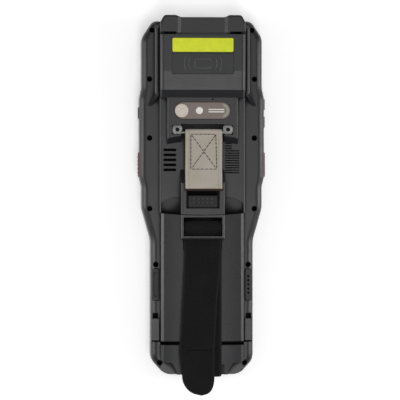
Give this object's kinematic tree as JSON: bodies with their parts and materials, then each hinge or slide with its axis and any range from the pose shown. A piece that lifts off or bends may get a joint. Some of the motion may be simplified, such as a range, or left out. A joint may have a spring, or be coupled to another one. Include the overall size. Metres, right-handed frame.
{
  "type": "portable barcode data terminal",
  "caption": "Handheld barcode data terminal with a scanner head, keypad, rear camera, side buttons, clip-in battery with sliding latch, strap tab and hook-and-loop hand strap.",
  "frame": {"origin": "middle of the flat front rim that the terminal lies on, half way along the case", "axes": "+Z out of the back, +Y towards the scanner head, +X to the right as the back is seen"},
  "size_m": [0.0738, 0.22, 0.0355],
  "materials": {
    "case": "fine spark-eroded texture, slightly satin",
    "battery_case": "fine texture, slightly smoother than the case",
    "latch_plastic": "moulded, with a dimpled thumb pad",
    "dark_rubber": "matt elastomer",
    "screw_steel": "black oxide",
    "bar_steel": "satin stainless",
    "steel": "plain stainless",
    "contact_metal": "gold plated",
    "scan_glass": "clear with a red tint",
    "engine_plastic": "plain moulded",
    "label_yellow": "bare printed film, yellow green",
    "reader_panel": "smooth matt plate",
    "camera_glass": "smoked glossy window",
    "camera_beige": "frosted cover",
    "flash_white": "milky lens",
    "touch_glass": "black bordered touch glass",
    "display": "display module",
    "frame_metal": "die cast",
    "board": "solder mask",
    "insert_plastic": "satin insert",
    "black_webbing": "hook-and-loop webbing",
    "grey_webbing": "woven webbing with a brown core",
    "scan_red": "satin",
    "key_grey": "silicone-coated key"
  },
  "bodies": {
    "case": {"front_shell": "case", "rear_shell": "case", "case_gasket": "dark_rubber", "case_screws": "screw_steel", "head_cap": "case", "scan_window": "scan_glass", "scan_engine": "engine_plastic", "label_plate": "label_yellow", "reader_plate": "reader_panel", "reader_antenna": "contact_metal", "camera_window": "camera_glass", "camera_cover": "camera_beige", "flash_lens": "flash_white", "camera_module": "engine_plastic", "speaker": "engine_plastic", "strap_bar": "bar_steel", "bar_screws": "bar_steel", "latch_springs": "steel", "battery_connector": "engine_plastic", "touch_lens": "touch_glass", "display_module": "display", "inner_frame": "frame_metal", "main_board": "board", "keypad_mat": "dark_rubber", "keypad_board": "board", "charge_port": "steel", "port_hinge": "steel", "grip_insert_left": "insert_plastic", "grip_insert_right": "insert_plastic", "accessory_contacts": "screw_steel"},
    "battery": {"battery_pack": "battery_case", "battery_terminals": "contact_metal", "strap_pin": "screw_steel", "hand_strap": "black_webbing", "strap_clip": "latch_plastic"},
    "latch": {"battery_latch": "latch_plastic"},
    "tab": {"strap_tab": "grey_webbing"},
    "port_flap": {"port_cover": "dark_rubber"},
    "scan_button_right_body": {"scan_button_right": "scan_red"},
    "scan_button_left_body": {"scan_button_left": "scan_red"},
    "power_key_body": {"power_key": "key_grey"},
    "volume_up_key_body": {"volume_up_key": "key_grey"},
    "volume_down_key_body": {"volume_down_key": "key_grey"},
    "scan_key_body": {"scan_key": "key_grey"},
    "menu_key_body": {"menu_key": "key_grey"},
    "back_key_body": {"back_key": "key_grey"},
    "key_star_body": {"key_star": "key_grey"},
    "key_0_body": {"key_0": "key_grey"},
    "key_hash_body": {"key_hash": "key_grey"},
    "key_7_body": {"key_7": "key_grey"},
    "key_8_body": {"key_8": "key_grey"},
    "key_9_body": {"key_9": "key_grey"},
    "key_4_body": {"key_4": "key_grey"},
    "key_5_body": {"key_5": "key_grey"},
    "key_6_body": {"key_6": "key_grey"},
    "key_1_body": {"key_1": "key_grey"},
    "key_2_body": {"key_2": "key_grey"},
    "key_3_body": {"key_3": "key_grey"}
  },
  "joints": [
    {"name": "battery_lift", "type": "slide", "parent": "case", "child": "battery", "axis": [0, 0, 1], "range_m": [0, 0.03]},
    {"name": "latch_slide", "type": "slide", "parent": "case", "child": "latch", "axis": [0, 1, 0], "range_m": [0, 0.003], "stiffness_N_per_m": 300, "springref_m": -0.002},
    {"name": "tab_swing", "type": "hinge", "parent": "case", "child": "tab", "pos_m": [0, 0.0363, 0.0282], "axis": [-1, 0, 0], "range_deg": [0, 100]},
    {"name": "port_cover_swing", "type": "hinge", "parent": "case", "child": "port_flap", "pos_m": [-0.0088, -0.105, 0.007], "axis": [0, 0, -1], "range_deg": [0, 110]},
    {"name": "scan_button_right_press", "type": "slide", "parent": "case", "child": "scan_button_right_body", "axis": [-1, 0, 0], "range_m": [0, 0.0006], "stiffness_N_per_m": 900, "springref_m": -0.0006},
    {"name": "scan_button_left_press", "type": "slide", "parent": "case", "child": "scan_button_left_body", "axis": [1, 0, 0], "range_m": [0, 0.0006], "stiffness_N_per_m": 900, "springref_m": -0.0006},
    {"name": "power_key_press", "type": "slide", "parent": "case", "child": "power_key_body", "axis": [1, 0, 0], "range_m": [0, 0.0006], "stiffness_N_per_m": 900, "springref_m": -0.0006},
    {"name": "volume_up_key_press", "type": "slide", "parent": "case", "child": "volume_up_key_body", "axis": [-1, 0, 0], "range_m": [0, 0.0006], "stiffness_N_per_m": 900, "springref_m": -0.0006},
    {"name": "volume_down_key_press", "type": "slide", "parent": "case", "child": "volume_down_key_body", "axis": [-1, 0, 0], "range_m": [0, 0.0006], "stiffness_N_per_m": 900, "springref_m": -0.0006},
    {"name": "scan_key_press", "type": "slide", "parent": "case", "child": "scan_key_body", "axis": [0, 0, 1], "range_m": [0, 0.0006], "stiffness_N_per_m": 700, "springref_m": -0.0006},
    {"name": "menu_key_press", "type": "slide", "parent": "case", "child": "menu_key_body", "axis": [0, 0, 1], "range_m": [0, 0.0006], "stiffness_N_per_m": 700, "springref_m": -0.0006},
    {"name": "back_key_press", "type": "slide", "parent": "case", "child": "back_key_body", "axis": [0, 0, 1], "range_m": [0, 0.0006], "stiffness_N_per_m": 700, "springref_m": -0.0006},
    {"name": "key_star_press", "type": "slide", "parent": "case", "child": "key_star_body", "axis": [0, 0, 1], "range_m": [0, 0.0006], "stiffness_N_per_m": 700, "springref_m": -0.0006},
    {"name": "key_0_press", "type": "slide", "parent": "case", "child": "key_0_body", "axis": [0, 0, 1], "range_m": [0, 0.0006], "stiffness_N_per_m": 700, "springref_m": -0.0006},
    {"name": "key_hash_press", "type": "slide", "parent": "case", "child": "key_hash_body", "axis": [0, 0, 1], "range_m": [0, 0.0006], "stiffness_N_per_m": 700, "springref_m": -0.0006},
    {"name": "key_7_press", "type": "slide", "parent": "case", "child": "key_7_body", "axis": [0, 0, 1], "range_m": [0, 0.0006], "stiffness_N_per_m": 700, "springref_m": -0.0006},
    {"name": "key_8_press", "type": "slide", "parent": "case", "child": "key_8_body", "axis": [0, 0, 1], "range_m": [0, 0.0006], "stiffness_N_per_m": 700, "springref_m": -0.0006},
    {"name": "key_9_press", "type": "slide", "parent": "case", "child": "key_9_body", "axis": [0, 0, 1], "range_m": [0, 0.0006], "stiffness_N_per_m": 700, "springref_m": -0.0006},
    {"name": "key_4_press", "type": "slide", "parent": "case", "child": "key_4_body", "axis": [0, 0, 1], "range_m": [0, 0.0006], "stiffness_N_per_m": 700, "springref_m": -0.0006},
    {"name": "key_5_press", "type": "slide", "parent": "case", "child": "key_5_body", "axis": [0, 0, 1], "range_m": [0, 0.0006], "stiffness_N_per_m": 700, "springref_m": -0.0006},
    {"name": "key_6_press", "type": "slide", "parent": "case", "child": "key_6_body", "axis": [0, 0, 1], "range_m": [0, 0.0006], "stiffness_N_per_m": 700, "springref_m": -0.0006},
    {"name": "key_1_press", "type": "slide", "parent": "case", "child": "key_1_body", "axis": [0, 0, 1], "range_m": [0, 0.0006], "stiffness_N_per_m": 700, "springref_m": -0.0006},
    {"name": "key_2_press", "type": "slide", "parent": "case", "child": "key_2_body", "axis": [0, 0, 1], "range_m": [0, 0.0006], "stiffness_N_per_m": 700, "springref_m": -0.0006},
    {"name": "key_3_press", "type": "slide", "parent": "case", "child": "key_3_body", "axis": [0, 0, 1], "range_m": [0, 0.0006], "stiffness_N_per_m": 700, "springref_m": -0.0006}
  ]
}
